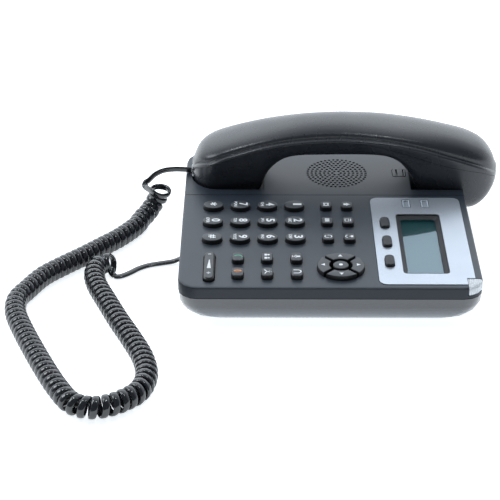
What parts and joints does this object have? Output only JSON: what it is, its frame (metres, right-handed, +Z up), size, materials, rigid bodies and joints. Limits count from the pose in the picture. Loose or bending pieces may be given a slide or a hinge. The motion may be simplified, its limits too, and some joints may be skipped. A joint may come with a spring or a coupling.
{
  "type": "desk IP phone",
  "caption": "Flat desk telephone with a sunk display, raised push keys, a glossy arched handset lying in its cradle and a coiled handset cord.",
  "frame": {"origin": "on the table, under the middle of the phone's own box (base and resting handset, cord left out)", "axes": "+X is the user's right, +Y points away from the user towards the socket side, +Z is up; the handset lies along Y at -X"},
  "size_m": [0.2931, 0.3292, 0.0716],
  "materials": {
    "panel": "fine satin grain",
    "lower": "fine satin grain",
    "handset": "polished",
    "keys": "satin with printed legends",
    "silver": "satin silver paint",
    "clear": "clear moulded plastic",
    "lcd": "reflective liquid-crystal panel",
    "board": "solder mask",
    "mat": "moulded silicone",
    "transducers": "dark metal and paper cone",
    "sockets": "moulded",
    "feet": "soft",
    "cord": "soft extruded jacket"
  },
  "bodies": {
    "base": {"lower_shell": "lower", "keypad_cover": "panel", "cradle_cover": "panel", "display_bezel": "silver", "display_window": "clear", "lcd_module": "lcd", "line_light_guide": "clear", "message_light_lens": "clear", "keypad_mat": "mat", "main_circuit_board": "board", "loudspeaker": "transducers", "network_socket_pair": "sockets", "power_socket": "sockets", "handset_hook_tab": "panel", "front_foot_strip": "feet", "rear_foot_strip": "feet", "base_cord_plug": "clear", "base_lead": "cord", "cord_coil": "cord", "handset_lead": "cord", "handset_cord_socket": "sockets"},
    "handset": {"handset_outer_shell": "handset", "handset_inner_shell": "handset", "handset_receiver": "transducers", "handset_microphone": "transducers", "handset_cord_plug": "clear"},
    "hook_plunger": {"hook_switch_plunger": "panel"},
    "volume_key": {"volume_rocker": "keys"},
    "nav_centre_body": {"nav_centre": "keys"},
    "nav_up_body": {"nav_up": "keys"},
    "nav_down_body": {"nav_down": "keys"},
    "nav_left_body": {"nav_left": "keys"},
    "nav_right_body": {"nav_right": "keys"},
    "soft_key_1_body": {"soft_key_1": "keys"},
    "soft_key_2_body": {"soft_key_2": "keys"},
    "soft_key_3_body": {"soft_key_3": "keys"},
    "key_answer_body": {"key_answer": "keys"},
    "key_end_body": {"key_end": "keys"},
    "key_conference_body": {"key_conference": "keys"},
    "key_transfer_body": {"key_transfer": "keys"},
    "key_mute_body": {"key_mute": "keys"},
    "key_hold_body": {"key_hold": "keys"},
    "key_menu_body": {"key_menu": "keys"},
    "key_message_body": {"key_message": "keys"},
    "key_redial_body": {"key_redial": "keys"},
    "key_speaker_body": {"key_speaker": "keys"},
    "key_phonebook_body": {"key_phonebook": "keys"},
    "key_headset_body": {"key_headset": "keys"},
    "key_1_body": {"key_1": "keys"},
    "key_2_body": {"key_2": "keys"},
    "key_3_body": {"key_3": "keys"},
    "key_4_body": {"key_4": "keys"},
    "key_5_body": {"key_5": "keys"},
    "key_6_body": {"key_6": "keys"},
    "key_7_body": {"key_7": "keys"},
    "key_8_body": {"key_8": "keys"},
    "key_9_body": {"key_9": "keys"},
    "key_star_body": {"key_star": "keys"},
    "key_0_body": {"key_0": "keys"},
    "key_hash_body": {"key_hash": "keys"}
  },
  "joints": [
    {"name": "handset_lift", "type": "slide", "parent": "base", "child": "handset", "axis": [0, 0, 1], "range_m": [0, 0.06]},
    {"name": "hook_switch", "type": "slide", "parent": "base", "child": "hook_plunger", "axis": [0, 0, 1], "range_m": [0, 0.004]},
    {"name": "volume_rock", "type": "hinge", "parent": "base", "child": "volume_key", "pos_m": [0.07025, -0.0894, 0.0254], "axis": [0, 1, 0], "range_deg": [-3, 3], "stiffness_Nm_per_rad": 0.05},
    {"name": "nav_centre_press", "type": "slide", "parent": "base", "child": "nav_centre_body", "axis": [0, 0, -1], "range_m": [0, 0.001], "stiffness_N_per_m": 500, "springref_m": -0.0005},
    {"name": "nav_up_press", "type": "slide", "parent": "base", "child": "nav_up_body", "axis": [0, 0, -1], "range_m": [0, 0.001], "stiffness_N_per_m": 500, "springref_m": -0.0005},
    {"name": "nav_down_press", "type": "slide", "parent": "base", "child": "nav_down_body", "axis": [0, 0, -1], "range_m": [0, 0.001], "stiffness_N_per_m": 500, "springref_m": -0.0005},
    {"name": "nav_left_press", "type": "slide", "parent": "base", "child": "nav_left_body", "axis": [0, 0, -1], "range_m": [0, 0.001], "stiffness_N_per_m": 500, "springref_m": -0.0005},
    {"name": "nav_right_press", "type": "slide", "parent": "base", "child": "nav_right_body", "axis": [0, 0, -1], "range_m": [0, 0.001], "stiffness_N_per_m": 500, "springref_m": -0.0005},
    {"name": "soft_key_1_press", "type": "slide", "parent": "base", "child": "soft_key_1_body", "axis": [0, 0, -1], "range_m": [0, 0.001], "stiffness_N_per_m": 500, "springref_m": -0.0005},
    {"name": "soft_key_2_press", "type": "slide", "parent": "base", "child": "soft_key_2_body", "axis": [0, 0, -1], "range_m": [0, 0.001], "stiffness_N_per_m": 500, "springref_m": -0.0005},
    {"name": "soft_key_3_press", "type": "slide", "parent": "base", "child": "soft_key_3_body", "axis": [0, 0, -1], "range_m": [0, 0.001], "stiffness_N_per_m": 500, "springref_m": -0.0005},
    {"name": "key_answer_press", "type": "slide", "parent": "base", "child": "key_answer_body", "axis": [0, 0, -1], "range_m": [0, 0.0015], "stiffness_N_per_m": 400, "springref_m": -0.0005},
    {"name": "key_end_press", "type": "slide", "parent": "base", "child": "key_end_body", "axis": [0, 0, -1], "range_m": [0, 0.0015], "stiffness_N_per_m": 400, "springref_m": -0.0005},
    {"name": "key_conference_press", "type": "slide", "parent": "base", "child": "key_conference_body", "axis": [0, 0, -1], "range_m": [0, 0.0015], "stiffness_N_per_m": 400, "springref_m": -0.0005},
    {"name": "key_transfer_press", "type": "slide", "parent": "base", "child": "key_transfer_body", "axis": [0, 0, -1], "range_m": [0, 0.0015], "stiffness_N_per_m": 400, "springref_m": -0.0005},
    {"name": "key_mute_press", "type": "slide", "parent": "base", "child": "key_mute_body", "axis": [0, 0, -1], "range_m": [0, 0.0015], "stiffness_N_per_m": 400, "springref_m": -0.0005},
    {"name": "key_hold_press", "type": "slide", "parent": "base", "child": "key_hold_body", "axis": [0, 0, -1], "range_m": [0, 0.0015], "stiffness_N_per_m": 400, "springref_m": -0.0005},
    {"name": "key_menu_press", "type": "slide", "parent": "base", "child": "key_menu_body", "axis": [0, 0, -1], "range_m": [0, 0.0015], "stiffness_N_per_m": 400, "springref_m": -0.0005},
    {"name": "key_message_press", "type": "slide", "parent": "base", "child": "key_message_body", "axis": [0, 0, -1], "range_m": [0, 0.0015], "stiffness_N_per_m": 400, "springref_m": -0.0005},
    {"name": "key_redial_press", "type": "slide", "parent": "base", "child": "key_redial_body", "axis": [0, 0, -1], "range_m": [0, 0.0015], "stiffness_N_per_m": 400, "springref_m": -0.0005},
    {"name": "key_speaker_press", "type": "slide", "parent": "base", "child": "key_speaker_body", "axis": [0, 0, -1], "range_m": [0, 0.0015], "stiffness_N_per_m": 400, "springref_m": -0.0005},
    {"name": "key_phonebook_press", "type": "slide", "parent": "base", "child": "key_phonebook_body", "axis": [0, 0, -1], "range_m": [0, 0.0015], "stiffness_N_per_m": 400, "springref_m": -0.0005},
    {"name": "key_headset_press", "type": "slide", "parent": "base", "child": "key_headset_body", "axis": [0, 0, -1], "range_m": [0, 0.0015], "stiffness_N_per_m": 400, "springref_m": -0.0005},
    {"name": "key_1_press", "type": "slide", "parent": "base", "child": "key_1_body", "axis": [0, 0, -1], "range_m": [0, 0.0015], "stiffness_N_per_m": 400, "springref_m": -0.0005},
    {"name": "key_2_press", "type": "slide", "parent": "base", "child": "key_2_body", "axis": [0, 0, -1], "range_m": [0, 0.0015], "stiffness_N_per_m": 400, "springref_m": -0.0005},
    {"name": "key_3_press", "type": "slide", "parent": "base", "child": "key_3_body", "axis": [0, 0, -1], "range_m": [0, 0.0015], "stiffness_N_per_m": 400, "springref_m": -0.0005},
    {"name": "key_4_press", "type": "slide", "parent": "base", "child": "key_4_body", "axis": [0, 0, -1], "range_m": [0, 0.0015], "stiffness_N_per_m": 400, "springref_m": -0.0005},
    {"name": "key_5_press", "type": "slide", "parent": "base", "child": "key_5_body", "axis": [0, 0, -1], "range_m": [0, 0.0015], "stiffness_N_per_m": 400, "springref_m": -0.0005},
    {"name": "key_6_press", "type": "slide", "parent": "base", "child": "key_6_body", "axis": [0, 0, -1], "range_m": [0, 0.0015], "stiffness_N_per_m": 400, "springref_m": -0.0005},
    {"name": "key_7_press", "type": "slide", "parent": "base", "child": "key_7_body", "axis": [0, 0, -1], "range_m": [0, 0.0015], "stiffness_N_per_m": 400, "springref_m": -0.0005},
    {"name": "key_8_press", "type": "slide", "parent": "base", "child": "key_8_body", "axis": [0, 0, -1], "range_m": [0, 0.0015], "stiffness_N_per_m": 400, "springref_m": -0.0005},
    {"name": "key_9_press", "type": "slide", "parent": "base", "child": "key_9_body", "axis": [0, 0, -1], "range_m": [0, 0.0015], "stiffness_N_per_m": 400, "springref_m": -0.0005},
    {"name": "key_star_press", "type": "slide", "parent": "base", "child": "key_star_body", "axis": [0, 0, -1], "range_m": [0, 0.0015], "stiffness_N_per_m": 400, "springref_m": -0.0005},
    {"name": "key_0_press", "type": "slide", "parent": "base", "child": "key_0_body", "axis": [0, 0, -1], "range_m": [0, 0.0015], "stiffness_N_per_m": 400, "springref_m": -0.0005},
    {"name": "key_hash_press", "type": "slide", "parent": "base", "child": "key_hash_body", "axis": [0, 0, -1], "range_m": [0, 0.0015], "stiffness_N_per_m": 400, "springref_m": -0.0005}
  ],
  "couplings": [
    {"joint": "hook_switch", "follows": "handset_lift", "ratio": 0.0666}
  ]
}
